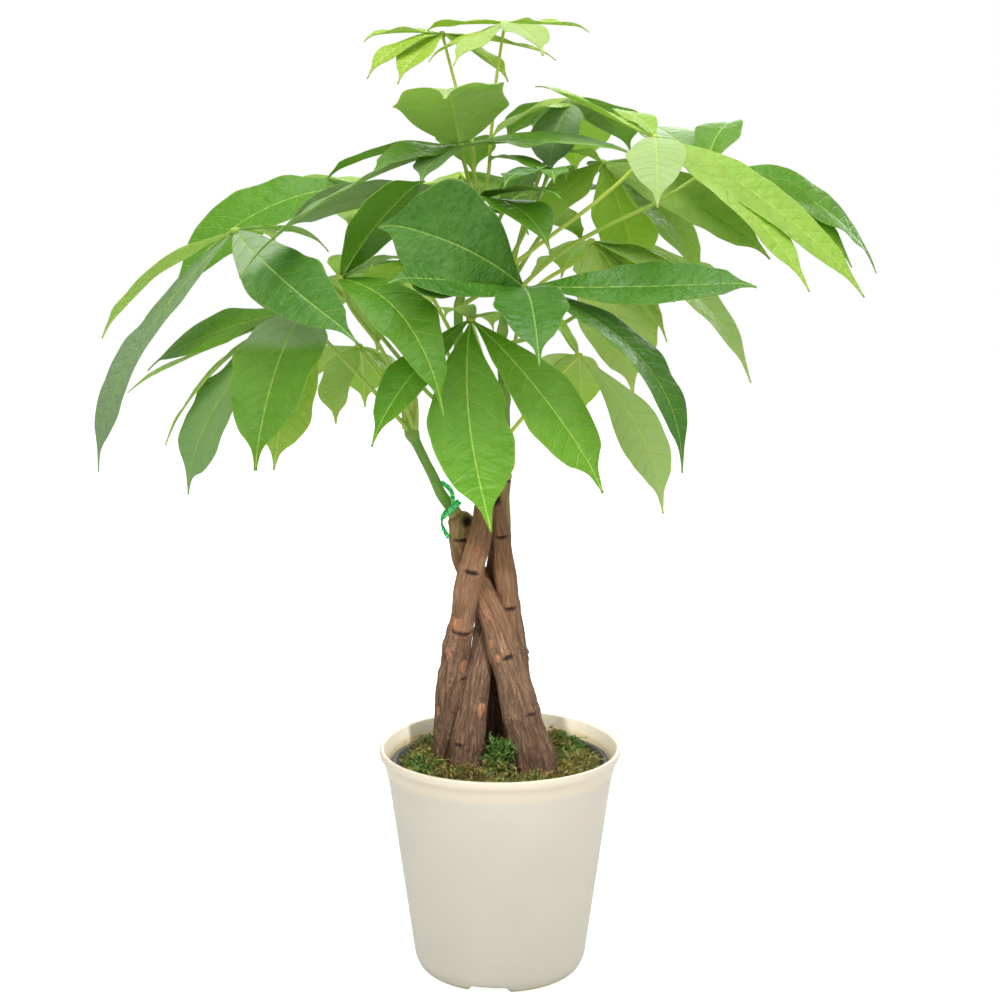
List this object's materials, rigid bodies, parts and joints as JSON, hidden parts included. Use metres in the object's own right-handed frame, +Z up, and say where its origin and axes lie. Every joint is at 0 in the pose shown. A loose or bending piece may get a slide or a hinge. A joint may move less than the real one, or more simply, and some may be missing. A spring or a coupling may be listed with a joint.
{
  "type": "potted money tree",
  "caption": "Small potted tree: braided trunks in a tapered cream pot with moss, green shoots and palmate leaves on long stalks.",
  "frame": {"origin": "on the pot's vertical axis at the level of its foot ring, which is the middle of the whole plant's bounding box to within a few millimetres", "axes": "+Z up along the pot's axis, -Y towards the pictured front, +X to the viewer's right"},
  "size_m": [0.487, 0.3328, 0.6056],
  "materials": {
    "bark": "matte",
    "shoot": "satin",
    "leaf_young": "satin",
    "leaf_light": "satin",
    "leaf_mid": "satin",
    "leaf_dark": "satin",
    "tie": "gloss",
    "pot": "satin",
    "nursery": "matte",
    "soil": "matte",
    "moss": "matte"
  },
  "bodies": {
    "root": {"trunk_front_right": "bark", "trunk_front_left": "bark", "trunk_middle": "bark", "trunk_right": "bark", "trunk_back": "bark", "shoot_left": "shoot", "shoot_middle": "shoot", "shoot_right": "shoot", "leaf_a": "leaf_young", "leaf_b": "leaf_young", "leaf_c": "leaf_mid", "leaf_d": "leaf_dark", "leaf_e": "leaf_light", "leaf_f": "leaf_mid", "leaf_g": "leaf_dark", "leaf_h": "leaf_mid", "leaf_i": "leaf_mid", "leaf_j": "leaf_mid", "leaf_k": "leaf_light", "leaf_l": "leaf_light", "leaf_m": "leaf_dark", "leaf_n": "leaf_mid", "leaf_o": "leaf_dark", "leaf_p": "leaf_light", "leaf_q": "leaf_light", "leaf_r": "leaf_mid", "leaf_s": "leaf_dark", "leaf_t": "leaf_mid", "leaf_u": "leaf_mid", "leaf_v": "leaf_light", "tie": "tie", "outer_pot": "pot", "nursery_pot": "nursery", "soil": "soil", "moss": "moss"}
  },
  "joints": []
}
